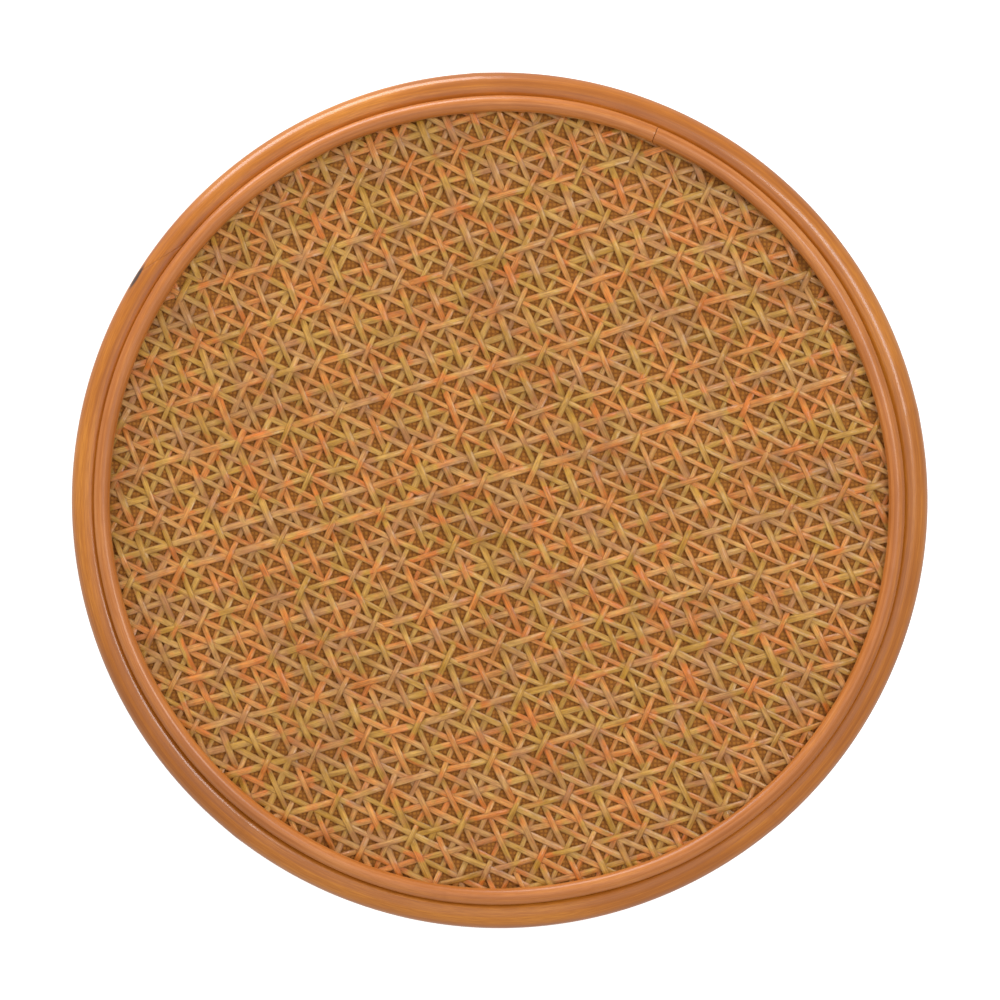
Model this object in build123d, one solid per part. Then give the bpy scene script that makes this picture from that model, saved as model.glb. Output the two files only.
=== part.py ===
"""Round rattan seat pad: a bent hoop, a clamped cane web and a plywood base."""
import math
import os

from build123d import *
from build123d.topology import SkipClean

# Driving dimensions, in millimetres
pad_diameter = 410.0
hoop_pole_diameter = 15.5
ring_cane_diameter = 7.8
ring_centre_radius = 189.7
rattan_touch_gap = 0.05

board_thickness = 6.0
board_edge_gap = 0.2
cloth_thickness = 0.4
web_edge_gap = 0.3

# Cane web: rows and columns set its cell, and two families of diagonals cross at every node
node_x = -3.0
node_y = -2.9
row_angle = 16.0
row_spacing = 12.86
row_width = 3.0
column_angle = 113.7
column_spacing = 12.67
column_width = 2.8
diagonal_width = 2.5
cane_thickness = 0.55
strand_layers = 4
shortest_strand = 20.0

# Joints in the bent rattan
scarf_angle = 143.5
scarf_slant = 22.0
scarf_overlap = 9.0
scarf_gap = 0.25
butt_angle = 67.0
butt_gap = 0.35

# Nails
nail_head_thickness = 0.5
nail_head_sink = 0.15
ring_brad_count = 18
ring_brad_length = 13.0
ring_brad_diameter = 1.1
board_pin_count = 12
board_pin_length = 22.0
board_pin_diameter = 1.6
scarf_brad_length = 12.5
scarf_brad_diameter = 1.1
scarf_brad_spread = 2.6

# Worked out from the sizes above
hoop_radius = hoop_pole_diameter / 2
hoop_centre_radius = pad_diameter / 2 - hoop_radius
hoop_centre_height = hoop_radius
ring_radius = ring_cane_diameter / 2
centre_distance = hoop_radius + ring_radius + rattan_touch_gap
ring_offset = hoop_centre_radius - ring_centre_radius
ring_rise = math.sqrt(centre_distance ** 2 - ring_offset ** 2)
ring_centre_height = hoop_centre_height + ring_rise
web_top = ring_centre_height - ring_radius
web_bottom = web_top - cane_thickness * strand_layers
cloth_bottom = web_bottom - cloth_thickness
foam_thickness = cloth_bottom - board_thickness
waist_radius = hoop_centre_radius - hoop_radius
base_radius = waist_radius - board_edge_gap
web_radius = waist_radius - web_edge_gap
slope_down_to_hoop = math.degrees(math.atan2(ring_rise, ring_offset))


def polar_location(radius, angle, height):
    """A place on the pad's circle, with local X pointing outwards."""
    return Rot(0, 0, angle) * Pos(radius, 0, height)


def nail(length, diameter):
    """A nail along -Z with the top of its flat head at the origin."""
    shank_radius = diameter / 2
    point_length = diameter
    shank_length = length - nail_head_thickness - point_length
    head = Cylinder(shank_radius * 1.7, nail_head_thickness, align=(Align.CENTER, Align.CENTER, Align.MAX))
    shank = Pos(0, 0, -nail_head_thickness) * Cylinder(
        shank_radius, shank_length, align=(Align.CENTER, Align.CENTER, Align.MAX)
    )
    point = Pos(0, 0, -length) * Cone(
        0.05, shank_radius, point_length, align=(Align.CENTER, Align.CENTER, Align.MIN)
    )
    return head + shank + point


def bent_rod(centre_radius, section_radius, height, start_angle, sweep_angle):
    """A rod of round section bent into an arc that lies flat at the given centre height."""
    path = CenterArc((0, 0, 0), centre_radius, start_angle, sweep_angle)
    start = polar_location(centre_radius, start_angle, 0)
    section = start * Rot(90, 0, 0) * Circle(section_radius)
    return Pos(0, 0, height) * sweep(section, path=path)


def scarf_block(side):
    """A block that takes away all of the hoop beyond one face of the scarf joint."""
    place = polar_location(hoop_centre_radius, scarf_angle, hoop_centre_height) * Rot(0, 0, -scarf_slant)
    reach = hoop_pole_diameter * 8
    return place * Pos(side * (reach + scarf_gap) / 2, 0, 0) * Box(reach, reach, reach)


def ring_brads():
    """Brads driven through the inner ring, aslant, into the hoop below it."""
    step = 360.0 / ring_brad_count
    tilt = Rot(0, slope_down_to_hoop - 90.0, 0)
    head_up = tilt * Pos(0, 0, ring_radius - nail_head_sink)
    brads = []
    for index in range(ring_brad_count):
        place = polar_location(ring_centre_radius, (index + 0.5) * step, ring_centre_height)
        brads.append(place * head_up * nail(ring_brad_length, ring_brad_diameter))
    return brads


def radial_nail(angle, height, length, diameter):
    """A nail driven level through the hoop, from its outer face inwards."""
    rise = height - hoop_centre_height
    outer_face = hoop_centre_radius + math.sqrt(hoop_radius ** 2 - rise ** 2)
    place = polar_location(outer_face, angle, height)
    return place * Rot(0, 90, 0) * Pos(0, 0, -nail_head_sink) * nail(length, diameter)


def board_pins():
    """Pins through the lower part of the hoop into the edge of the board."""
    step = 360.0 / board_pin_count
    pin_height = board_thickness / 2 + 0.3
    pins = []
    for index in range(board_pin_count):
        pins.append(radial_nail(index * step, pin_height, board_pin_length, board_pin_diameter))
    return pins


def scarf_brads():
    """Two brads that hold the slanted joint of the hoop together."""
    angles = (scarf_angle - scarf_brad_spread, scarf_angle + scarf_brad_spread)
    height = hoop_centre_height
    return [radial_nail(angle, height, scarf_brad_length, scarf_brad_diameter) for angle in angles]


def half_hoop(start_angle, side):
    """Half of the hoop and a little more, cut aslant on one side of the scarf joint."""
    sweep_angle = 180 + scarf_overlap
    rod = bent_rod(hoop_centre_radius, hoop_radius, hoop_centre_height, start_angle, sweep_angle)
    return rod - scarf_block(side)


def outer_hoop(nails):
    """A rattan pole bent into a circle, its ends joined by a slanted scarf."""
    first_half = half_hoop(scarf_angle - scarf_overlap, 1)
    second_half = half_hoop(scarf_angle + 180, -1)
    with SkipClean():
        return (first_half + second_half) - nails


def inner_ring(nails):
    """A thinner rattan ring that clamps the rim of the web, its ends butted together."""
    gap_angle = math.degrees(butt_gap / ring_centre_radius)
    start_angle = butt_angle + gap_angle / 2
    ring = bent_rod(ring_centre_radius, ring_radius, ring_centre_height, start_angle, 360 - gap_angle)
    return ring - nails


def base_board(nails):
    """The plywood disc that carries the load, flush with the hoop's underside."""
    board = Cylinder(base_radius, board_thickness, align=(Align.CENTER, Align.CENTER, Align.MIN))
    return board - nails


def flat_disc(bottom, thickness):
    """A soft layer of the pad, as a plain disc."""
    disc = Cylinder(base_radius, thickness, align=(Align.CENTER, Align.CENTER, Align.MIN))
    return Pos(0, 0, bottom) * disc


def lines_per_mm(angle, spacing):
    """The vector square to parallel lines whose length is how many lines it crosses in a millimetre."""
    return Vector(0, 1 / spacing, 0).rotate(Axis.Z, angle)


def strand(side, width):
    """One flat cane strand along X that fits the web's circle, at this distance from its centre line."""
    outer_side = abs(side) + width / 2
    if outer_side >= web_radius:
        return None
    half_length = math.sqrt(web_radius ** 2 - outer_side ** 2)
    if half_length * 2 < shortest_strand:
        return None
    return Pos(0, side, 0) * Box(half_length * 2, width, cane_thickness)


def strand_layer(density, width, level):
    """All the parallel strands of one family, one of which passes the node near the centre."""
    spacing = 1 / density.length
    side_of_node = Vector(node_x, node_y, 0).dot(density.normalized())
    turn = math.degrees(math.atan2(density.Y, density.X)) - 90
    place = Pos(0, 0, web_bottom + (level + 0.5) * cane_thickness) * Rot(0, 0, turn)
    steps = int(web_radius / spacing) + 1
    strands = []
    for index in range(-steps, steps + 1):
        piece = strand(side_of_node + index * spacing, width)
        if piece is not None:
            strands.append(place * piece)
    return strands


def cane_web():
    """The four families of strands by node name, lowest layer first."""
    rows = lines_per_mm(row_angle, row_spacing)
    columns = lines_per_mm(column_angle, column_spacing)
    return {
        "cane_rising_diagonals": strand_layer(rows + columns, diagonal_width, 0),
        "cane_rows": strand_layer(rows, row_width, 1),
        "cane_columns": strand_layer(columns, column_width, 2),
        "cane_falling_diagonals": strand_layer(rows - columns, diagonal_width, 3),
    }


def group(node, solids):
    """Separate solids that share one node."""
    return Compound(label=node, children=solids)


def main():
    """Build every node and write its STEP file."""
    os.makedirs("parts", exist_ok=True)
    brads = ring_brads()
    pins = board_pins()
    joint_brads = scarf_brads()
    nodes = {
        "outer_hoop": outer_hoop(brads + pins + joint_brads),
        "inner_ring": inner_ring(brads),
        "base_board": base_board(pins),
        "foam_underlay": flat_disc(board_thickness, foam_thickness),
        "backing_cloth": flat_disc(cloth_bottom, cloth_thickness),
        "ring_brads": group("ring_brads", brads),
        "board_pins": group("board_pins", pins),
        "scarf_brads": group("scarf_brads", joint_brads),
    }
    for node, strands in cane_web().items():
        nodes[node] = group(node, strands)
    for node, shape in nodes.items():
        export_step(shape, f"parts/{node}.step")
    print(f"ring centre height {ring_centre_height:.2f}, foam {foam_thickness:.2f}")


main()
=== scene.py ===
"""Looks of a round seat pad: a woven cane web in a bent rattan hoop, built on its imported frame."""

import logging
import math
import random
from dataclasses import dataclass, field
from enum import Enum

import bmesh
import bpy
from mathutils import Matrix, Vector, noise


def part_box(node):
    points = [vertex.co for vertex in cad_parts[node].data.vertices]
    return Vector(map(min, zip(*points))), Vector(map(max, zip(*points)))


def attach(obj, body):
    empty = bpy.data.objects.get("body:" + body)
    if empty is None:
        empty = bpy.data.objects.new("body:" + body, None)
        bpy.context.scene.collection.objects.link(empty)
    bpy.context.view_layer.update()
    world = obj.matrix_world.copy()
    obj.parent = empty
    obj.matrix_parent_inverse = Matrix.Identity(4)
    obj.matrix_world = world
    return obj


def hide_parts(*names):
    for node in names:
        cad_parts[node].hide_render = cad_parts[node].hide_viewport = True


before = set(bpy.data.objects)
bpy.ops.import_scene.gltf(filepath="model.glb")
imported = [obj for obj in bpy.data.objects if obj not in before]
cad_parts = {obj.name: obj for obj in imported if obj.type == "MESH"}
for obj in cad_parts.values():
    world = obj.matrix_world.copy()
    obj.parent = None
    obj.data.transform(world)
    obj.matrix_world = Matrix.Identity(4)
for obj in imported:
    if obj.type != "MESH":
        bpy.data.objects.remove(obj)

log = logging.getLogger("seat_pad")
BODY = "root"
SHARP_EDGE = math.radians(40)
NOISE_MIDDLE = (0.3, 0.7)
MILLIMETRE = 0.001
Socket = bpy.types.NodeSocket
Shape = bmesh.types.BMesh
Colour = tuple[float, float, float]
Triple = tuple[float, float, float]


# ---- Measures read from the frame


@dataclass(frozen=True)
class Extent:
    """The lowest and highest corners of one CAD node."""

    low: Vector
    high: Vector

    @classmethod
    def of(cls, node: str) -> "Extent":
        """Read the extent of a CAD node from the frame, in metres."""
        low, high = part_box(node)
        return cls(Vector(low), Vector(high))

    @property
    def thickness(self) -> float:
        """The height from the lowest to the highest point."""
        return self.high.z - self.low.z

    @property
    def outer_radius(self) -> float:
        """Half of the width along X, which is the radius of a round node."""
        return (self.high.x - self.low.x) / 2

    @property
    def middle_height(self) -> float:
        """The height half way between bottom and top."""
        return (self.high.z + self.low.z) / 2


@dataclass(frozen=True)
class RodMeasure:
    """A rod of round section bent into a ring."""

    centre_radius: float
    section_radius: float
    height: float

    @classmethod
    def of(cls, node: str) -> "RodMeasure":
        """Measure a ring-shaped CAD node."""
        extent = Extent.of(node)
        return cls(extent.outer_radius - extent.thickness / 2, extent.thickness / 2, extent.middle_height)


# ---- Materials


class NodeBench:
    """A material's node tree, with short calls that add its nodes."""

    def __init__(self, name: str) -> None:
        """Start an empty material.

        Args:
            name: The material's name.
        """
        self.material = bpy.data.materials.new(name)
        self.material.use_nodes = True
        self.tree = self.material.node_tree
        self.tree.nodes.clear()
        self.output = self.tree.nodes.new("ShaderNodeOutputMaterial")

    def feed(self, value: Socket | float | Triple, target: Socket) -> None:
        """Wire an output to an input, or give the input a constant."""
        if isinstance(value, Socket):
            self.tree.links.new(value, target)
        else:
            target.default_value = (*value, 1.0) if target.type == "RGBA" else value

    def add(self, kind: str, **settings: str) -> bpy.types.Node:
        """Add a node.

        Args:
            kind: The node's type without its ShaderNode prefix.
            settings: Properties of the node.

        Returns:
            The new node.
        """
        node = self.tree.nodes.new("ShaderNode" + kind)
        for key, value in settings.items():
            setattr(node, key, value)
        return node

    def read(self, node: bpy.types.Node, output: str, **inputs: Socket | float | Triple) -> Socket:
        """Feed a node's inputs, named with underscores for spaces, and take one of its outputs."""
        for key, value in inputs.items():
            self.feed(value, node.inputs[key.replace("_", " ")])
        return node.outputs[output]

    def attribute(self, name: str, output: str = "Vector") -> Socket:
        """Read one of the mesh's own attributes."""
        return self.read(self.add("Attribute", attribute_name=name), output)

    def object_place(self) -> Socket:
        """Read the place on the object, in metres."""
        return self.read(self.add("TexCoord"), "Object")

    def component(self, source: Socket, axis: str) -> Socket:
        """Take one axis of a coordinate."""
        return self.read(self.add("SeparateXYZ"), axis, Vector=source)

    def mapped(self, source: Socket, **settings: Triple) -> Socket:
        """Scale a coordinate by Scale and move it by Location."""
        return self.read(self.add("Mapping"), "Vector", Vector=source, **settings)

    def moved(self, source: Socket, distance: float) -> Socket:
        """Move a coordinate, so that two noises over it differ."""
        return self.mapped(source, Location=(distance, distance, distance))

    def noise(self, source: Socket, scale: Triple, detail: float = 3.0, roughness: float = 0.55) -> Socket:
        """Lay a cloudy noise about 0.5 over a coordinate, at so many cycles per metre along each axis."""
        place = self.mapped(source, Scale=scale)
        return self.read(
            self.add("TexNoise"), "Fac", Vector=place, Scale=1.0, Detail=detail, Roughness=roughness
        )

    def clamped(self, source: Socket) -> Socket:
        """Hold a value between 0 and 1."""
        return self.read(self.add("Clamp"), "Result", Value=source)

    def remap(self, source: Socket, start: float, end: float, low: float, high: float) -> Socket:
        """Map the values from start to end onto those from low to high, and hold them there."""
        limits = {"From_Min": start, "From_Max": end, "To_Min": low, "To_Max": high}
        return self.read(self.add("MapRange"), "Result", Value=source, **limits)

    def spread(self, source: Socket, low: float, high: float) -> Socket:
        """Spread the middle of a noise, where most of it lies, over a range of values."""
        return self.remap(source, *NOISE_MIDDLE, low, high)

    def ramp(self, source: Socket, stops: list[tuple[float, Colour]]) -> Socket:
        """Turn a value into a colour.

        Args:
            source: The value.
            stops: Positions from 0 to 1 and their linear colours.

        Returns:
            The colour.
        """
        node = self.add("ValToRGB")
        elements = node.color_ramp.elements
        while len(elements) < len(stops):
            elements.new(0.5)
        for element, (position, colour) in zip(elements, stops):
            element.position = position
            element.color = (*colour, 1.0)
        return self.read(node, "Color", Fac=source)

    def mix(self, first: Socket, second: Socket | Colour, factor: Socket) -> Socket:
        """Lay one colour over another.

        Args:
            first: The colour at factor 0.
            second: The colour at factor 1.
            factor: How much of the second is used.

        Returns:
            The mixed colour.
        """
        node = self.add("Mix", data_type="RGBA")
        colours = [socket for socket in node.inputs if socket.type == "RGBA"]
        for value, socket in zip((factor, first, second), (node.inputs[0], *colours)):
            self.feed(value, socket)
        return next(socket for socket in node.outputs if socket.type == "RGBA")

    def maths(self, rule: str, first: Socket | float, second: Socket | float) -> Socket:
        """Combine two values.

        Args:
            rule: The operation's name.
            first: The first value.
            second: The second value.

        Returns:
            The result.
        """
        node = self.add("Math", operation=rule)
        for value, socket in zip((first, second), node.inputs):
            self.feed(value, socket)
        return node.outputs["Value"]

    def plus(self, first: Socket, second: Socket, share: float) -> Socket:
        """Add a share of a second value to the first."""
        return self.maths("ADD", first, self.maths("MULTIPLY", second, share))

    def weighted(self, first: Socket, share: float, second: Socket, rest: float) -> Socket:
        """Add a share of one value to a share of another."""
        return self.plus(self.maths("MULTIPLY", first, share), second, rest)

    def bump(self, height: Socket, depth: float, strength: float = 1.0) -> Socket:
        """Turn a height from 0 to 1 into the normal of a relief so many metres deep."""
        return self.read(self.add("Bump"), "Normal", Height=height, Distance=depth, Strength=strength)

    def shade(
        self, colour: Socket, roughness: Socket, normal: Socket, **constants: float | Colour
    ) -> bpy.types.Material:
        """Close the tree with its shader.

        Args:
            colour: The base colour.
            roughness: The roughness.
            normal: The relief.
            constants: Other shader values by socket name, with underscores for spaces.

        Returns:
            The finished material.
        """
        shader = self.add("BsdfPrincipled")
        inputs = {"Base_Color": colour, "Roughness": roughness, "Normal": normal}
        self.feed(self.read(shader, "BSDF", **inputs, **constants), self.output.inputs["Surface"])
        return self.material


@dataclass(frozen=True)
class VarnishedRattan:
    """Peeled rattan under a clear varnish, with its fibres along the rod."""

    name: str
    dark: Colour
    middle: Colour
    light: Colour
    # painted shade: the near-black colour of the opening under the scarf's lifted tip
    tip_shade_colour: Colour = (0.03, 0.014, 0.010)
    coat: float = 0.42
    coat_roughness: float = 0.14
    tip_place: Triple | None = None
    tip_size: Triple = (0.0078, 0.0023, 0.0022)

    def make(self) -> bpy.types.Material:
        """Build the material on the rod's grain and wear attributes."""
        bench = NodeBench(self.name)
        grain = bench.attribute("grain")
        wear = bench.attribute("wear", "Fac")
        streaks = bench.noise(grain, (9.0, 620.0, 620.0), detail=5.0, roughness=0.6)
        clouds = bench.noise(grain, (14.0, 45.0, 45.0), detail=2.0)
        pores = bench.noise(grain, (130.0, 2600.0, 2600.0), detail=2.0)
        body = bench.ramp(
            bench.weighted(streaks, 0.55, clouds, 0.45),
            [(0.36, self.dark), (0.5, self.middle), (0.64, self.light)],
        )
        pored = bench.mix(body, self.dark, bench.spread(pores, 0.6, -0.05))
        stain_and_tip_shade = bench.mix(pored, self.dark, wear)
        # painted shade laid over the rattan where the scarf's outer tip lifts off
        if self.tip_place is not None:
            stain_and_tip_shade = bench.mix(stain_and_tip_shade, self.tip_shade_colour, self.painted_tip_shade(bench, pores))
        return bench.shade(
            stain_and_tip_shade,
            bench.spread(streaks, 0.42, 0.3),
            bench.bump(bench.weighted(streaks, 0.7, pores, 0.3), 0.00012, 0.6),
            Coat_Weight=self.coat,
            Coat_Roughness=self.coat_roughness,
            Specular_IOR_Level=0.3,
        )

    def painted_tip_shade(self, bench: NodeBench, frayed: Socket) -> Socket:
        """Paint the shade of the lens-shaped opening where the scarf's outer tip lifts.

        Args:
            bench: The material's node tree.
            frayed: The noise that roughens the edge of the painted shade.

        Returns:
            The strength of the painted shade.
        """
        location = tuple(-place / size for place, size in zip(self.tip_place, self.tip_size))
        scale = tuple(1 / size for size in self.tip_size)
        place = bench.mapped(bench.attribute("tip"), Location=location, Scale=scale)
        length = bench.add("VectorMath", operation="LENGTH")
        distance = bench.read(length, "Value", Vector=place)
        return bench.remap(bench.plus(distance, frayed, 0.5), 0.85, 1.25, 0.95, 0.0)


@dataclass(frozen=True)
class SplitCane:
    """Split cane, each strand of its own shade, stained in soft patches of olive, tan and orange."""

    name: str
    olive: Colour = (0.585, 0.295, 0.021)
    tan: Colour = (0.57, 0.235, 0.072)
    orange: Colour = (0.78, 0.20, 0.014)
    pith: Colour = (0.86, 0.50, 0.13)
    # dark colour of fibre lines, scars and worn patches, also used as painted shade at strand edges
    dark_fibre_and_edge_shade: Colour = (0.18, 0.058, 0.005)
    patches_per_metre: float = 72.0

    def make(self) -> bpy.types.Material:
        """Build the material on each strand's length, side and start, and on its tone."""
        bench = NodeBench(self.name)
        strand = bench.attribute("strand")
        tone = bench.attribute("tone", "Fac")
        place = bench.object_place()
        pitch = self.patches_per_metre
        warm = bench.noise(place, (pitch, pitch, 0.0), detail=1.0)
        dusty = bench.noise(bench.moved(place, 3.1), (pitch, pitch, 0.0), detail=1.0)
        fibres = bench.noise(strand, (70.0, 5.5, 1.0), detail=5.0, roughness=0.7)
        shades = bench.noise(strand, (85.0, 0.4, 1.0), detail=2.0)
        scars = bench.noise(strand, (240.0, 1.0, 1.0), detail=1.0)
        own_warm = bench.maths("ADD", bench.spread(warm, -1.3, 1.3), tone)
        own_dusty = bench.plus(bench.spread(dusty, -1.9, 1.4), tone, 0.5)
        hue = bench.ramp(own_warm, [(0.3, self.olive), (0.7, self.orange)])
        dusted = bench.mix(hue, self.tan, bench.clamped(own_dusty))
        lightness = bench.plus(bench.spread(shades, -0.45, 0.75), tone, 0.5)
        body = bench.mix(dusted, self.pith, bench.clamped(bench.maths("MULTIPLY", lightness, 0.6)))
        side = bench.maths("ABSOLUTE", bench.component(strand, "Y"), 0.0)
        # painted shade: each strand darkens towards both edges, where its crown curves down away from the
        # light
        edge_shaded = bench.mix(body, self.dark_fibre_and_edge_shade, bench.remap(side, 0.62, 1.0, 0.0, 0.55))
        streaked = bench.mix(edge_shaded, self.dark_fibre_and_edge_shade, bench.spread(fibres, 0.62, -0.15))
        marked = bench.mix(streaked, self.dark_fibre_and_edge_shade, bench.spread(scars, 0.3, -0.1))
        sat_on = bench.noise(bench.moved(place, 7.7), (22.0, 22.0, 0.0), detail=3.0, roughness=0.6)
        worn = bench.mix(marked, self.dark_fibre_and_edge_shade, bench.clamped(bench.spread(sat_on, 0.26, -0.2)))
        return bench.shade(
            worn,
            bench.spread(fibres, 0.48, 0.32),
            bench.bump(bench.weighted(fibres, 0.8, scars, 0.2), 0.0004, 0.9),
            Coat_Weight=0.25,
            Coat_Roughness=0.18,
            Specular_IOR_Level=0.35,
        )


@dataclass(frozen=True)
class PlainWeave:
    """A plain-woven cloth, seen as its crossing threads."""

    name: str
    thread: Colour = (0.46, 0.17, 0.018)
    gap: Colour = (0.24, 0.075, 0.007)
    threads_per_metre: float = 1500.0

    def make(self) -> bpy.types.Material:
        """Build the cloth's weave from two crossed sets of waves."""
        bench = NodeBench(self.name)
        place = bench.object_place()
        bands = []
        for direction in ("X", "Y"):
            wave = bench.add("TexWave", bands_direction=direction)
            scale = self.threads_per_metre / 10
            bands.append(bench.read(wave, "Fac", Vector=place, Scale=scale, Distortion=0.6, Detail=1.0))
        weave = bench.maths("MULTIPLY", bands[0], bands[1])
        fuzz = bench.noise(place, (900.0, 900.0, 900.0), detail=3.0)
        threads = bench.ramp(weave, [(0.0, self.gap), (0.5, self.thread)])
        return bench.shade(
            bench.mix(threads, self.thread, bench.spread(fuzz, 0.0, 0.5)),
            bench.spread(fuzz, 0.95, 0.85),
            bench.bump(bench.plus(weave, fuzz, 0.4), 0.0002),
            Sheen_Weight=0.15,
        )


@dataclass(frozen=True)
class OpenCellFoam:
    """Cut foam with small open cells."""

    name: str
    wall: Colour = (0.60, 0.50, 0.33)
    cell: Colour = (0.38, 0.29, 0.17)
    cells_per_metre: float = 1400.0

    def make(self) -> bpy.types.Material:
        """Build the foam from a field of small cells."""
        bench = NodeBench(self.name)
        place = bench.object_place()
        voronoi = bench.add("TexVoronoi", feature="DISTANCE_TO_EDGE")
        cells = bench.read(voronoi, "Distance", Vector=place, Scale=self.cells_per_metre)
        clouds = bench.noise(place, (30.0, 30.0, 30.0))
        colour = bench.ramp(cells, [(0.0, self.wall), (0.3, self.cell)])
        aged = bench.mix(colour, self.wall, bench.spread(clouds, 0.0, 0.5))
        return bench.shade(aged, bench.spread(clouds, 0.95, 0.85), bench.bump(cells, 0.0003))


@dataclass(frozen=True)
class Plywood:
    """Rotary-cut plywood: flowing grain on its faces and stripes of ply on its edge."""

    name: str
    early: Colour = (0.66, 0.46, 0.27)
    late: Colour = (0.47, 0.29, 0.145)
    glue: Colour = (0.20, 0.11, 0.055)
    ply_count: int = 5
    glue_share: float = 0.12

    def make(self, board: Extent) -> bpy.types.Material:
        """Build the material for one board.

        Args:
            board: The board's extent, which places its plies.

        Returns:
            The finished material.
        """
        bench = NodeBench(self.name)
        place = bench.object_place()
        warp = bench.noise(place, (16.0, 2.6, 0.0), detail=2.0)
        figure = bench.noise(place, (26.0, 1.5, 0.0), detail=3.0, roughness=0.5)
        rings = bench.maths("PINGPONG", bench.maths("MULTIPLY", figure, 17.0), 1.0)
        fibres = bench.noise(place, (900.0, 22.0, 0.0), detail=4.0)
        face = bench.ramp(bench.weighted(rings, 0.5, fibres, 0.5), [(0.2, self.early), (0.85, self.late)])
        clouded = bench.mix(face, self.early, bench.spread(warp, 0.0, 0.45))
        ply = board.thickness / self.ply_count
        layer = bench.maths("PINGPONG", bench.component(place, "Z"), ply / 2)
        near_glue = bench.remap(layer, 0.0, ply * self.glue_share, 0.8, 0.0)
        upright = bench.component(bench.read(bench.add("TexCoord"), "Normal"), "Z")
        is_edge = bench.maths("LESS_THAN", bench.maths("ABSOLUTE", upright, 0.0), 0.5)
        glued = bench.mix(clouded, self.glue, bench.maths("MULTIPLY", near_glue, is_edge))
        return bench.shade(glued, bench.spread(fibres, 0.68, 0.5), bench.bump(fibres, 0.0002, 0.5))


@dataclass(frozen=True)
class NailSteel:
    """Drawn steel wire, a little brown with age."""

    name: str
    bright: Colour = (0.26, 0.17, 0.11)
    dull: Colour = (0.11, 0.055, 0.03)

    def make(self) -> bpy.types.Material:
        """Build the metal from a fine speckle of tarnish."""
        bench = NodeBench(self.name)
        tarnish = bench.noise(bench.object_place(), (1800.0, 1800.0, 1800.0), detail=3.0)
        colour = bench.ramp(tarnish, [(0.35, self.dull), (0.6, self.bright)])
        relief = bench.bump(tarnish, 0.00004)
        return bench.shade(colour, bench.spread(tarnish, 0.75, 0.55), relief, Metallic=1.0)


@dataclass(frozen=True)
class StudioPaper:
    """The pale paper that the pad lies on."""

    name: str
    colour: Colour = (0.93, 0.93, 0.93)
    glow: float = 0.6
    mottle: float = 0.985

    def make(self) -> bpy.types.Material:
        """Build the paper from a faint even mottle."""
        bench = NodeBench(self.name)
        mottle = bench.noise(bench.object_place(), (20.0, 20.0, 20.0), detail=2.0)
        shade = tuple(value * self.mottle for value in self.colour)
        colour = bench.ramp(mottle, [(0.3, shade), (0.7, self.colour)])
        return bench.shade(
            colour,
            bench.spread(mottle, 0.95, 0.9),
            bench.bump(mottle, 0.0001, 0.2),
            Emission_Color=(1.0, 1.0, 1.0),
            Emission_Strength=self.glow,
        )


# ---- Mesh helpers


def make_mesh(shape: Shape, name: str) -> bpy.types.Mesh:
    """Turn a bmesh into a mesh, and free it."""
    mesh = bpy.data.meshes.new(name)
    shape.to_mesh(mesh)
    shape.free()
    return mesh


def add_object(name: str, data: bpy.types.ID) -> bpy.types.Object:
    """Link a mesh, lamp or camera into the scene, at the origin."""
    item = bpy.data.objects.new(name, data)
    bpy.context.scene.collection.objects.link(item)
    return item


def finish_piece(
    shape: Shape, name: str, material: bpy.types.Material, node: str
) -> bpy.types.Object:
    """Turn a bmesh into a piece that stands for a CAD node and rides on the pad.

    Args:
        shape: The closed bmesh, which is freed.
        name: The piece's name.
        material: Its finish.
        node: The CAD node that it replaces.

    Returns:
        The new object, at the origin.
    """
    bmesh.ops.recalc_face_normals(shape, faces=shape.faces[:])
    for face in shape.faces:
        face.smooth = True
    for edge in shape.edges:
        edge.smooth = edge.is_manifold and edge.calc_face_angle() < SHARP_EDGE
    mesh = make_mesh(shape, name)
    mesh.materials.append(material)
    piece = add_object(name, mesh)
    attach(piece, BODY)
    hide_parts(node)
    log.info("%s: %d faces", name, len(mesh.polygons))
    return piece


def soften(shape: Shape, edges: list[bmesh.types.BMEdge], offset: float, segments: int) -> None:
    """Round the given edges off."""
    bmesh.ops.bevel(
        shape, geom=edges, offset=offset, affect="EDGES", segments=segments, profile=0.5, material=-1
    )


def turn_from(origin: float, angle: float) -> float:
    """The signed turn from one direction to another, the shorter way round."""
    return (angle - origin + math.pi) % math.tau - math.pi


def smooth_step(value: float) -> float:
    """Ease from 0 to 1."""
    value = min(max(value, 0.0), 1.0)
    return value * value * (3 - 2 * value)


# ---- Bent rattan rods


@dataclass(frozen=True)
class RodEnd:
    """How the two ends of a bent rod meet."""

    angle: float
    slant: float
    gap: float
    overlap: float
    chamfer: float


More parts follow.
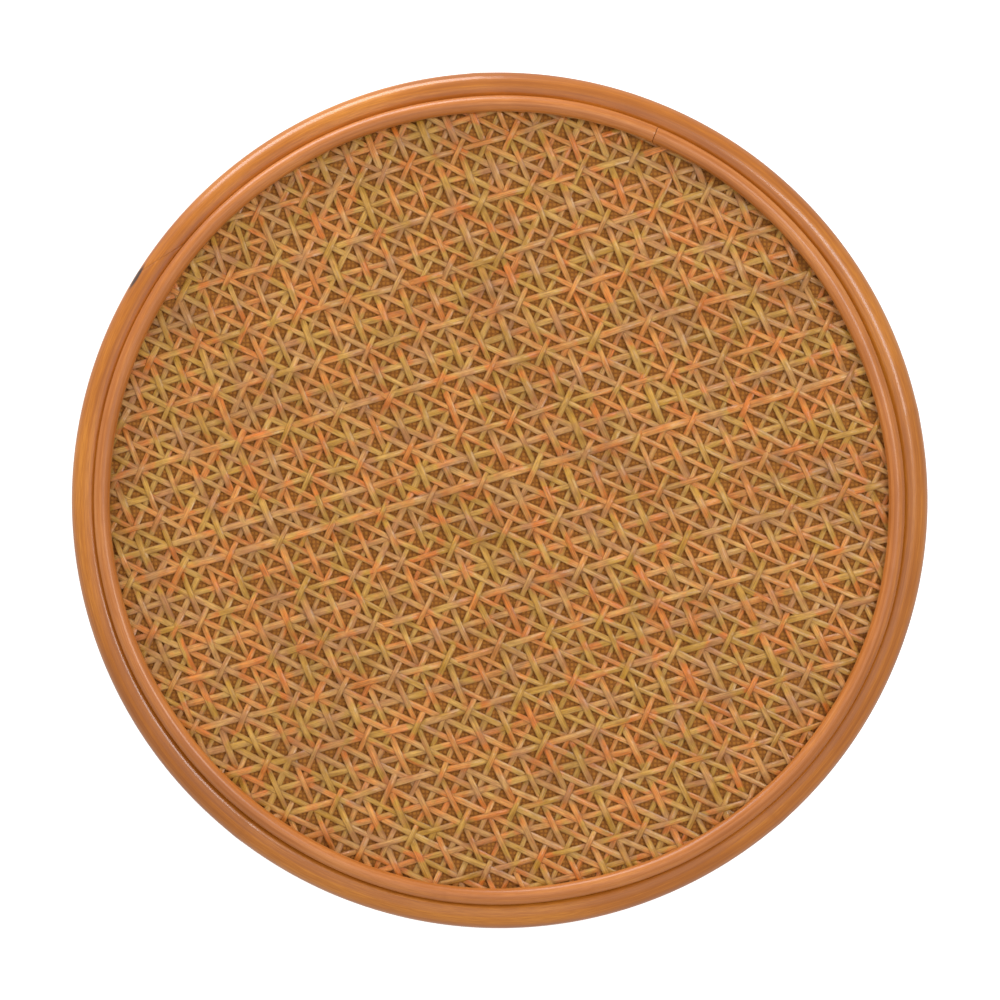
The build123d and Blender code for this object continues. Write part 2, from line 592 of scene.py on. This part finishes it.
@dataclass
class BentRod:
    """A rattan rod bent into a ring, its ends cut and brought together."""

    name: str
    node: str
    slot: str
    finish: VarnishedRattan
    ends: RodEnd
    section_sides: int = 32
    steps: int = 256
    bends: tuple[float, ...] = (0.0,)
    lies_against: str | None = None
    growth_marks: tuple[float, ...] = ()
    tip_angle: float | None = None
    mark_swell: float = 0.00012
    mark_width: float = 0.0035
    mark_stain: float = 0.3
    stain_share: float = 0.25
    mark_fray: float = 0.0004
    frays_per_metre: float = 300
    unevenness: float = 0.00004
    cut_reach: float = 9

    def __post_init__(self) -> None:
        """Measure the rod, and the one that it lies against, in the frame."""
        self.measure = RodMeasure.of(self.node)
        self.neighbour = RodMeasure.of(self.lies_against) if self.lies_against is not None else None

    def wander(self, angle: float) -> float:
        """How far hand bending puts the centre line from a true circle.

        Args:
            angle: The place round the ring, in radians.

        Returns:
            The radial offset in metres.
        """
        place = angle % math.tau / math.tau * len(self.bends)
        first = int(place) % len(self.bends)
        second = (first + 1) % len(self.bends)
        share = smooth_step(place - int(place))
        bend = self.bends[first] + (self.bends[second] - self.bends[first]) * share
        return bend + noise.noise(Vector((math.cos(angle) * 3, math.sin(angle) * 3, 7.0))) * self.unevenness

    def centre(self, angle: float) -> Vector:
        """Where the bent centre line is, resting on the rod that it lies against.

        Args:
            angle: The place round the ring, in radians.

        Returns:
            Its radius and its height.
        """
        radius = self.measure.centre_radius + self.wander(angle)
        height = self.measure.height
        if self.neighbour is not None:
            apart = self.measure.section_radius + self.neighbour.section_radius
            beside = self.neighbour.centre_radius - radius
            above = math.sqrt(max(0.0, apart * apart - beside * beside))
            height = max(height, self.neighbour.height + above)
        return Vector((radius, height))

    def half(self, start: float, side: int) -> Shape:
        """Spin half of the ring and a little more, and cut its end at the joint.

        Args:
            start: The angle where the half starts, in radians.
            side: 1 for the half that leaves the joint, -1 for the one that arrives.

        Returns:
            The half rod, open at its far end.
        """
        sweep = math.pi + self.ends.overlap
        shape = bmesh.new()
        place = Matrix.Translation((self.measure.centre_radius, 0, self.measure.height))
        upright = Matrix.Rotation(start, 4, "Z") @ place @ Matrix.Rotation(math.pi / 2, 4, "X")
        ring = bmesh.ops.create_circle(
            shape, segments=self.section_sides, radius=self.measure.section_radius, matrix=upright
        )
        geometry = ring["verts"] + shape.edges[:]
        bmesh.ops.spin(
            shape, geom=geometry, axis=(0, 0, 1), cent=(0, 0, 0), angle=sweep, steps=self.steps
        )
        grain = shape.verts.layers.float_vector.new("grain")
        middle = start + sweep / 2
        for vert in shape.verts:
            turned = middle + turn_from(middle, math.atan2(vert.co.y, vert.co.x))
            vert[grain] = Vector((turned * self.measure.centre_radius, 0, 0))
        self.cut_end(shape, side)
        return shape

    def cut_end(self, shape: Shape, side: int) -> None:
        """Saw a half rod off along the joint's plane, close the cut and soften its edge.

        Args:
            shape: The half rod.
            side: Which side of the plane is kept.
        """
        joint = Matrix.Rotation(self.ends.angle, 4, "Z")
        middle = joint @ Vector((self.measure.centre_radius, 0, self.measure.height))
        normal = joint @ Matrix.Rotation(-self.ends.slant, 4, "Z") @ Vector((side, 0, 0))
        reach = self.measure.section_radius * self.cut_reach
        near = [v for v in shape.verts if (v.co - middle).length < reach]
        keep = set(near)
        region = near + [e for e in shape.edges if set(e.verts) <= keep]
        region += [f for f in shape.faces if set(f.verts) <= keep]
        kerf = middle - normal * self.ends.gap / 2
        cut = bmesh.ops.bisect_plane(
            shape, geom=region, plane_co=kerf, plane_no=normal, clear_outer=True
        )
        rim = [item for item in cut["geom_cut"] if isinstance(item, bmesh.types.BMEdge)]
        face = bmesh.ops.contextual_create(shape, geom=rim)["faces"]
        if face:
            soften(shape, face[0].edges[:], self.ends.chamfer, 2)

    def shape_by_hand(self, shape: Shape) -> None:
        """Move the rod's points for growth marks and bending, and write its grain and wear.

        Args:
            shape: The whole rod.
        """
        grain = shape.verts.layers.float_vector["grain"]
        wear = shape.verts.layers.float.new("wear")
        tip = shape.verts.layers.float_vector.new("tip") if self.tip_angle is not None else None
        radius = self.measure.centre_radius
        for vert in shape.verts:
            angle = math.atan2(vert.co.y, vert.co.x)
            outward = Vector((math.cos(angle), math.sin(angle), 0))
            flat = vert.co.dot(outward) - radius
            rise = vert.co.z - self.measure.height
            vert[grain] = Vector((vert[grain].x, flat, rise))
            if tip is not None:
                vert[tip] = Vector((turn_from(self.tip_angle, angle) * radius, flat, rise))
            swell = 0.0
            mark = 0.0
            for place in self.growth_marks:
                distance = abs(turn_from(math.radians(place), angle)) * radius
                fray = noise.noise(Vector((flat, rise, place)) * self.frays_per_metre)
                distance += fray * self.mark_fray
                swell += self.mark_swell * math.exp(-((distance / self.mark_width) ** 2))
                stain_width = self.mark_width * self.stain_share
                mark = max(mark, self.mark_stain * math.exp(-((distance / stain_width) ** 2)))
            vert[wear] = mark
            section = Vector((flat, rise))
            section *= 1 + swell / max(section.length, 1e-6)
            centre = self.centre(angle)
            place = outward * (centre.x + section.x)
            vert.co = Vector((place.x, place.y, max(0.0, centre.y + section.y)))

    def build(self) -> bpy.types.Object:
        """Make the rod.

        Returns:
            The finished piece, which stands for its CAD node.
        """
        shape = self.half(self.ends.angle - self.ends.overlap, 1)
        mesh = make_mesh(self.half(self.ends.angle + math.pi, -1), self.name + "_half")
        shape.from_mesh(mesh)
        bpy.data.meshes.remove(mesh)
        bmesh.ops.remove_doubles(shape, verts=shape.verts[:], dist=1e-6)
        self.shape_by_hand(shape)
        return finish_piece(shape, self.name, self.finish.make(), self.node)


@dataclass
class RingBrads:
    """The fine brads that hold the ring to the hoop, one in every span of the ring."""

    ring: BentRod
    steel: bpy.types.Material
    count: int = 18
    length: float = 0.013
    shank_radius: float = 0.00055
    point_radius: float = 0.0001
    head_radius: float = 0.00093
    head_depth: float = 0.0005
    round_share: float = 0.2
    sunk: float = 0.00015
    sides: int = 14

    def brad(self, shape: Shape, seat: Matrix) -> None:
        """Add one brad.

        Args:
            shape: The bmesh that takes it.
            seat: The place of its head, with Z pointing out of the ring.
        """
        profiles = (
            (self.point_radius, self.shank_radius, self.length, -self.length / 2 - self.head_depth / 2),
            (self.shank_radius, self.head_radius, self.head_depth, -self.head_depth / 2),
        )
        for lower, upper, depth, height in profiles:
            cone = bmesh.ops.create_cone(
                shape,
                cap_ends=True,
                segments=self.sides,
                radius1=lower,
                radius2=upper,
                depth=depth,
                matrix=seat @ Matrix.Translation((0, 0, height)),
            )
        rim = {edge for vert in cone["verts"] for edge in vert.link_edges}
        soften(shape, list(rim), self.head_depth * self.round_share, 1)

    def build(self) -> bpy.types.Object:
        """Drive every brad through the ring towards the middle of the hoop.

        Returns:
            The piece, which stands for the CAD brads.
        """
        hoop = RodMeasure.of("outer_hoop")
        shape = bmesh.new()
        for index in range(self.count):
            angle = (index + 0.5) * math.tau / self.count
            centre = self.ring.centre(angle)
            inwards = Vector((hoop.centre_radius - centre.x, 0, hoop.height - centre.y)).normalized()
            reach = self.ring.measure.section_radius - self.sunk
            head = Vector((centre.x, 0, centre.y)) - inwards * reach
            seat = Matrix.Translation(head) @ (-inwards).to_track_quat("Z", "Y").to_matrix().to_4x4()
            self.brad(shape, Matrix.Rotation(angle, 4, "Z") @ seat)
        return finish_piece(shape, "ring_brads_driven", self.steel, "ring_brads")


# ---- Cane web


class Family(Enum):
    """The four directions that strands run in, by the CAD node of each."""

    ROWS = "cane_rows"
    COLUMNS = "cane_columns"
    RISING = "cane_rising_diagonals"
    FALLING = "cane_falling_diagonals"


@dataclass(frozen=True)
class StrandStyle:
    """How the strands of one family are cut and where they pass at each crossing.

    Levels count strands below: 0 lies on the cloth and 3 on three others. They are given for an
    even row and column, even and odd, odd and even, odd and odd, and last between crossings.
    """

    width: float
    levels: tuple[float, float, float, float]
    level_between: float | None
    tone: float

    def level(self, row: int, column: int) -> float:
        """The level at the crossing of a row and a column."""
        return self.levels[2 * (row % 2) + column % 2]


@dataclass(frozen=True)
class WeaveLattice:
    """Where rows and columns cross, with the gentle pull that leaves them out of true."""

    node_x: float = -0.0028
    node_y: float = -0.0036
    row_angle: float = math.radians(16.0)
    row_spacing: float = 0.01286
    column_angle: float = math.radians(113.7)
    column_spacing: float = 0.01267
    pull_reach: float = 0.1
    row_pull: Triple = (0.02, -0.06, -0.04)
    column_pull: Triple = (0.11, -0.03, 0.07)

    def straight(self, row: float, column: float) -> Vector:
        """Where a row and a column would cross if every strand were straight."""
        across = math.sin(self.column_angle - self.row_angle)
        along_row = Vector((math.cos(self.row_angle), math.sin(self.row_angle)))
        along_column = Vector((math.cos(self.column_angle), math.sin(self.column_angle)))
        start = Vector((self.node_x, self.node_y))
        return (
            start
            + along_column * (row * self.row_spacing / across)
            - along_row * (column * self.column_spacing / across)
        )

    def pulled(self, place: Vector, pull: Triple) -> float:
        """How many strands off true the web is at a place."""
        x, y = place / self.pull_reach
        return pull[0] * x * x + pull[1] * x * y + pull[2] * y * y

    def crossing(self, row: float, column: float) -> Vector:
        """Where a row and a column, which may be fractions, cross in the pulled web."""
        true_place = self.straight(row, column)
        return self.straight(
            row - self.pulled(true_place, self.row_pull),
            column - self.pulled(true_place, self.column_pull),
        )


@dataclass
class Station:
    """One cross-section of a strand."""

    centre: Vector
    side: Vector
    half_width: float
    roll: float
    along: float
    tone: float


@dataclass
class CaneWeb:
    """The web of four strand families, woven over and under each other.

    Each wave is a noise along the strands, given by its cycles per metre, its step from strand to
    strand and its layer.
    """

    strand_thickness: float = 0.0006
    level_rise: float = 0.00066
    crown: float = 0.00028
    flat_share: float = 0.16
    steps_per_cell: int = 8
    side_jitter: float = 0.0006
    wander: float = 0.0013
    wander_wave: Triple = (22, 3.7, 1.0)
    roll: float = 0.4
    roll_wave: Triple = (35, 2.3, 3.0)
    lift: float = 0.00035
    lift_wave: Triple = (50, 4.3, 4.0)
    swell: float = 0.09
    swell_wave: Triple = (60, 5.1, 2.0)
    width_range: tuple[float, float] = (0.84, 1.14)
    tone_spread: float = 0.22
    grain_start: float = 40
    grain_step: float = 7.3
    farthest_strand: int = 60
    farthest_step: int = 40
    samples_per_step: int = 4
    halvings: int = 24
    look_ahead: float = 0.05
    lattice: WeaveLattice = field(default_factory=WeaveLattice)
    finish: SplitCane = field(default_factory=lambda: SplitCane("split_cane"))

    def __post_init__(self) -> None:
        """Measure the web in the frame and set each family's style."""
        layers = [Extent.of(family.value) for family in Family]
        self.radius = max(layer.outer_radius for layer in layers)
        self.floor = min(layer.low.z for layer in layers)
        self.styles = {
            Family.ROWS: StrandStyle(0.0031, (1.0, 2.0, 1.0, 3.0), None, 0.56),
            Family.COLUMNS: StrandStyle(0.0029, (3.0, 3.0, 0.0, 0.0), None, 0.54),
            Family.RISING: StrandStyle(0.0027, (0.0, 0.0, 3.0, 2.0), 0.2, 0.5),
            Family.FALLING: StrandStyle(0.0027, (2.0, 1.0, 2.0, 1.0), 1.3, 0.62),
        }

    def crossing_numbers(self, family: Family, index: int, step: float) -> tuple[float, float]:
        """The row and the column that a strand has reached after so many cells."""
        numbers = {
            Family.ROWS: (index, step),
            Family.COLUMNS: (step, index),
            Family.RISING: (step, index - step),
            Family.FALLING: (step, step - index),
        }
        return numbers[family]

    def strand_place(self, family: Family, index: int, step: float) -> Vector:
        """Where a strand's centre line is after so many cells."""
        return self.lattice.crossing(*self.crossing_numbers(family, index, step))

    def span(self, family: Family, index: int) -> tuple[float, float] | None:
        """The stretch of a strand that lies inside the web.

        Args:
            family: The strand's family.
            index: The strand's number in it.

        Returns:
            Its first and last step, or nothing where it misses the web.
        """
        reach = self.farthest_step * self.samples_per_step
        samples = [step / self.samples_per_step for step in range(-reach, reach + 1)]
        nearest = min(samples, key=lambda step: self.strand_place(family, index, step).length)
        edge = self.radius - self.styles[family].width / 4
        if self.strand_place(family, index, nearest).length > edge * 0.995:
            return None
        ends = []
        for direction in (-1, 1):
            inside, outside = nearest, nearest + direction * self.farthest_step
            for _ in range(self.halvings):
                middle = (inside + outside) / 2
                if self.strand_place(family, index, middle).length < edge:
                    inside = middle
                else:
                    outside = middle
            ends.append(inside)
        return ends[0], ends[1]

    def level_at(self, family: Family, index: int, step: float) -> float:
        """The level of a strand's centre line, eased between crossings.

        Args:
            family: The strand's family.
            index: The strand's number in it.
            step: How many cells along it.

        Returns:
            The level, where 1 is one strand's rise.
        """
        style = self.styles[family]
        cell = math.floor(step)
        before = style.level(*(round(n) for n in self.crossing_numbers(family, index, cell)))
        after = style.level(*(round(n) for n in self.crossing_numbers(family, index, cell + 1)))
        share = step - cell
        if style.level_between is not None:
            if share < 0.5:
                after, share = style.level_between, share * 2
            else:
                before, share = style.level_between, share * 2 - 1
        eased = smooth_step((share - self.flat_share) / (1 - 2 * self.flat_share))
        return before + (after - before) * eased

    def ripple(self, wave: Triple, along: float, index: int) -> float:
        """Read a wave at a place along a strand."""
        return noise.noise(Vector((along * wave[0], index * wave[1], wave[2])))

    def stations(self, family: Family, index: int, chance: random.Random) -> list[Station]:
        """Work out the cross-sections of one strand.

        Args:
            family: The strand's family.
            index: The strand's number in it.
            chance: The source of the web's small differences.

        Returns:
            The cross-sections in order, or an empty list where the strand misses the web.
        """
        offset = chance.gauss(0, self.side_jitter)
        width = self.styles[family].width * chance.uniform(*self.width_range)
        tone = self.styles[family].tone + chance.gauss(0, self.tone_spread)
        along = chance.uniform(0, self.grain_start)
        span = self.span(family, index)
        if span is None:
            return []
        count = max(4, round((span[1] - span[0]) * self.steps_per_cell))
        made = []
        last = self.strand_place(family, index, span[0])
        for number in range(count + 1):
            step = span[0] + (span[1] - span[0]) * number / count
            here = self.strand_place(family, index, step)
            ahead = self.strand_place(family, index, step + self.look_ahead)
            tangent = (ahead - here).normalized()
            side = Vector((-tangent.y, tangent.x))
            along += (here - last).length
            last = here
            drift = self.ripple(self.wander_wave, along, index) * self.wander
            here = here + side * (offset + drift)
            height = self.floor + self.strand_thickness
            height += self.level_at(family, index, step) * self.level_rise
            height += self.lift * (0.5 + self.ripple(self.lift_wave, along, index))
            swell = 1 + self.swell * self.ripple(self.swell_wave, along, index)
            made.append(
                Station(
                    centre=Vector((here.x, here.y, height)),
                    side=Vector((side.x, side.y, 0)),
                    half_width=width / 2 * swell,
                    roll=self.roll * self.ripple(self.roll_wave, along, index),
                    along=along,
                    tone=tone,
                )
            )
        return made

    def weave(self, family: Family) -> bpy.types.Object:
        """Lay every strand of a family.

        Args:
            family: The family.

        Returns:
            The piece, which stands for the family's CAD node.
        """
        chance = random.Random(family.value)
        shape = bmesh.new()
        strand_layer = shape.verts.layers.float_vector.new("strand")
        tone_layer = shape.verts.layers.float.new("tone")
        for index in range(-self.farthest_strand, self.farthest_strand + 1):
            stations = self.stations(family, index, chance)
            if not stations:
                continue
            last = len(stations) - 1
            made = bmesh.ops.create_grid(shape, x_segments=last, y_segments=4, size=1.0)
            for vert in made["verts"]:
                station = stations[round((vert.co.x + 1) / 2 * last)]
                across = vert.co.y
                rise = self.crown * (1 - across * across) + station.roll * across * station.half_width
                vert[strand_layer] = Vector((station.along, across, index * self.grain_step))
                vert[tone_layer] = station.tone
                aside = station.side * (across * station.half_width)
                vert.co = station.centre + aside + Vector((0, 0, rise))
        bmesh.ops.recalc_face_normals(shape, faces=shape.faces[:])
        bmesh.ops.solidify(shape, geom=shape.faces[:], thickness=self.strand_thickness)
        return finish_piece(shape, family.value + "_woven", self.material, family.value)

    def build(self) -> list[bpy.types.Object]:
        """Weave all four families."""
        self.material = self.finish.make()
        return [self.weave(family) for family in Family]


# ---- Underlay


@dataclass
class Underlay:
    """The golden brown cloth under the web and the thin foam below it."""

    rings: int = 40
    sectors: int = 96
    cloth_ripple: float = 0.00018
    ripples_per_metre: float = 45
    foam_edge: float = 0.0012
    cloth: PlainWeave = field(default_factory=lambda: PlainWeave("brown_backing_cloth"))
    foam: OpenCellFoam = field(default_factory=lambda: OpenCellFoam("underlay_foam"))

    def disc(self, radius: float, bottom: float, thickness: float) -> Shape:
        """Make a round layer with rings of faces.

        Args:
            radius: Its radius.
            bottom: The height of its underside.
            thickness: Its thickness.

        Returns:
            The closed layer.
        """
        shape = bmesh.new()
        bmesh.ops.create_circle(shape, cap_ends=True, cap_tris=True, segments=self.sectors, radius=radius)
        spokes = [edge for edge in shape.edges if not edge.is_boundary]
        bmesh.ops.subdivide_edges(shape, edges=spokes, cuts=self.rings - 1, use_grid_fill=True)
        bmesh.ops.translate(shape, verts=shape.verts[:], vec=(0, 0, bottom))
        walls = bmesh.ops.extrude_face_region(shape, geom=shape.faces[:])
        lifted = [item for item in walls["geom"] if isinstance(item, bmesh.types.BMVert)]
        bmesh.ops.translate(shape, verts=lifted, vec=(0, 0, thickness))
        bmesh.ops.recalc_face_normals(shape, faces=shape.faces[:])
        return shape

    def backing_cloth(self) -> bpy.types.Object:
        """Stretch the cloth over the foam, with the small ripples of hand work."""
        extent = Extent.of("backing_cloth")
        shape = self.disc(extent.outer_radius, extent.low.z, extent.thickness)
        for vert in shape.verts:
            vert.co.z += self.cloth_ripple * noise.noise(vert.co * self.ripples_per_metre)
        cloth = self.cloth.make()
        piece = finish_piece(shape, "backing_cloth_stretched", cloth, "backing_cloth")
        return piece

    def foam_pad(self) -> bpy.types.Object:
        """Lay the foam on the board, its cut edge pressed round by the hoop."""
        extent = Extent.of("foam_underlay")
        shape = self.disc(extent.outer_radius, extent.low.z, extent.thickness)
        rim = [edge for edge in shape.edges if edge.is_manifold and edge.calc_face_angle() > SHARP_EDGE]
        soften(shape, rim, self.foam_edge, 3)
        piece = finish_piece(shape, "foam_underlay_pad", self.foam.make(), "foam_underlay")
        return piece

    def build(self) -> None:
        """Make both soft layers."""
        self.foam_pad()
        self.backing_cloth()


# ---- Pieces kept from the frame


@dataclass
class BoardAndNails:
    """The board and nails, which keep their CAD shape and get their real finish."""

    steel: bpy.types.Material
    nails: tuple[str, ...] = ("board_pins", "scarf_brads")

    def dress(self) -> None:
        """Give the board its plywood and the nails their steel."""
        plywood = Plywood("base_plywood").make(Extent.of("base_board"))
        self.assign("base_board", plywood)
        for node in self.nails:
            self.assign(node, self.steel)

    def assign(self, node: str, material: bpy.types.Material) -> None:
        """Put a finish on a CAD node."""
        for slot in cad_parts[node].material_slots:
            slot.material = material
        log.info("%s: %s", node, material.name)


# ---- Studio


@dataclass(frozen=True)
class Softbox:
    """One soft studio lamp, aimed at the pad."""

    name: str
    azimuth: float
    elevation: float
    distance: float
    width: float
    height: float
    power: float

    def place(self) -> None:
        """Hang the lamp and point it at the pad."""
        lamp = bpy.data.lights.new(self.name, "AREA")
        lamp.shape = "RECTANGLE"
        lamp.size = self.width
        lamp.size_y = self.height
        lamp.energy = self.power
        holder = add_object(self.name, lamp)
        turn = math.radians(self.azimuth)
        lift = math.radians(self.elevation)
        flat = math.cos(lift)
        towards = Vector((math.cos(turn) * flat, math.sin(turn) * flat, math.sin(lift)))
        holder.location = towards * self.distance
        holder.rotation_euler = towards.to_track_quat("Z", "Y").to_euler()


@dataclass
class Studio:
    """The floor, the lamps and the camera that looks straight down."""

    frame_share: float = 0.8558
    lens: float = 120.0
    sensor_width: float = 36.0
    aim: tuple[float, float] = (0.00014, 0.00014)
    floor_size: float = 6.0
    floor_gap: float = 0.0004
    ambient: float = 0.7
    paper: StudioPaper = field(default_factory=lambda: StudioPaper("studio_paper"))
    lamps: tuple[Softbox, ...] = (
        Softbox("low_top_softbox", 112, 9, 1.6, 1.25, 0.6, 23.0),
        Softbox("upper_right_softbox", 31, 66, 1.7, 0.45, 0.45, 8.0),
        Softbox("overhead_panel", 235, 78, 2.2, 1.6, 1.6, 5.0),
    )

    def set_floor(self) -> None:
        """Lay the paper that the pad rests on."""
        shape = bmesh.new()
        below = Matrix.Translation((0, 0, -self.floor_gap))
        bmesh.ops.create_grid(shape, x_segments=8, y_segments=8, size=self.floor_size / 2, matrix=below)
        mesh = make_mesh(shape, "studio_floor")
        mesh.materials.append(self.paper.make())
        floor = add_object("studio_floor", mesh)
        floor.visible_diffuse = False
        floor.visible_glossy = False

    def set_light(self) -> None:
        """Hang the lamps and set the even room light."""
        for lamp in self.lamps:
            lamp.place()
        world = bpy.data.worlds.new("studio_room")
        world.use_nodes = True
        background = world.node_tree.nodes["Background"]
        background.inputs["Color"].default_value = (1.0, 1.0, 1.0, 1.0)
        background.inputs["Strength"].default_value = self.ambient
        bpy.context.scene.world = world
        bpy.context.scene.view_settings.view_transform = "Standard"

    def set_camera(self) -> None:
        """Look straight down with a long lens, the pad filling most of the frame."""
        camera = bpy.data.cameras.new("camera")
        camera.lens = self.lens
        camera.sensor_width = self.sensor_width
        hoop = Extent.of("outer_hoop")
        view_width = 2 * hoop.outer_radius / self.frame_share
        distance = self.lens * view_width / self.sensor_width
        holder = add_object("camera", camera)
        holder.location = (*self.aim, hoop.middle_height + distance)
        bpy.context.scene.camera = holder

    def build(self) -> None:
        """Set up the whole studio."""
        self.set_floor()
        self.set_light()
        self.set_camera()


# ---- The pad

# How far the ring lies outside a true circle, in millimetres, every 20 degrees from the X axis.
RING_BENDS = (
    -0.5, -1.2, -0.8, -0.6, -0.4, -0.9, -0.6, -0.1, 0.0,
    -0.2, -0.4, -0.9, -1.2, -0.8, -1.1, 0.2, 0.5, 0.4,
)


def outer_hoop() -> BentRod:
    """The thick pole round the rim, with its slanted scarf."""
    return BentRod(
        name="outer_hoop_pole",
        node="outer_hoop",
        slot="hoop_rattan",
        finish=VarnishedRattan(
            "hoop_rattan",
            dark=(0.34, 0.095, 0.007),
            middle=(0.49, 0.155, 0.013),
            light=(0.62, 0.225, 0.025),
            # where the painted shade of the scarf's open tip lies on the hoop
            tip_place=(0.0, 0.0067, 0.0042),
        ),
        ends=RodEnd(
            angle=math.radians(143.5),
            slant=math.radians(22.0),
            gap=0.00006,
            overlap=math.radians(9.0),
            chamfer=0.00008,
        ),
        growth_marks=(12.0, 93.0, 232.0, 311.0),
        tip_angle=math.radians(148.4),
    )


def inner_ring() -> BentRod:
    """The thinner rod that clamps the rim of the web, with its butt joint."""
    return BentRod(
        name="inner_ring_rod",
        node="inner_ring",
        slot="ring_rattan",
        finish=VarnishedRattan(
            "ring_rattan",
            dark=(0.37, 0.108, 0.016),
            middle=(0.52, 0.172, 0.034),
            light=(0.64, 0.245, 0.06),
            coat=0.35,
            coat_roughness=0.24,
        ),
        ends=RodEnd(
            angle=math.radians(67.0),
            slant=math.radians(90.0),
            gap=0.00018,
            overlap=math.radians(4.0),
            chamfer=0.0002,
        ),
        section_sides=24,
        lies_against="outer_hoop",
        bends=tuple(bend * MILLIMETRE for bend in RING_BENDS),
        growth_marks=(148.0, 262.0, 350.0),
        mark_swell=0.00008,
        mark_width=0.0025,
    )


def main() -> None:
    """Build every piece of the pad, its finishes and the studio."""
    logging.basicConfig(level=logging.INFO, format="%(name)s: %(message)s")
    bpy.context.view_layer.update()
    Studio().build()
    outer_hoop().build()
    ring = inner_ring()
    ring.build()
    steel = NailSteel("nail_steel").make()
    RingBrads(ring, steel).build()
    CaneWeb().build()
    Underlay().build()
    BoardAndNails(steel).dress()
    bpy.context.view_layer.update()


if __name__ == "__main__":
    main()
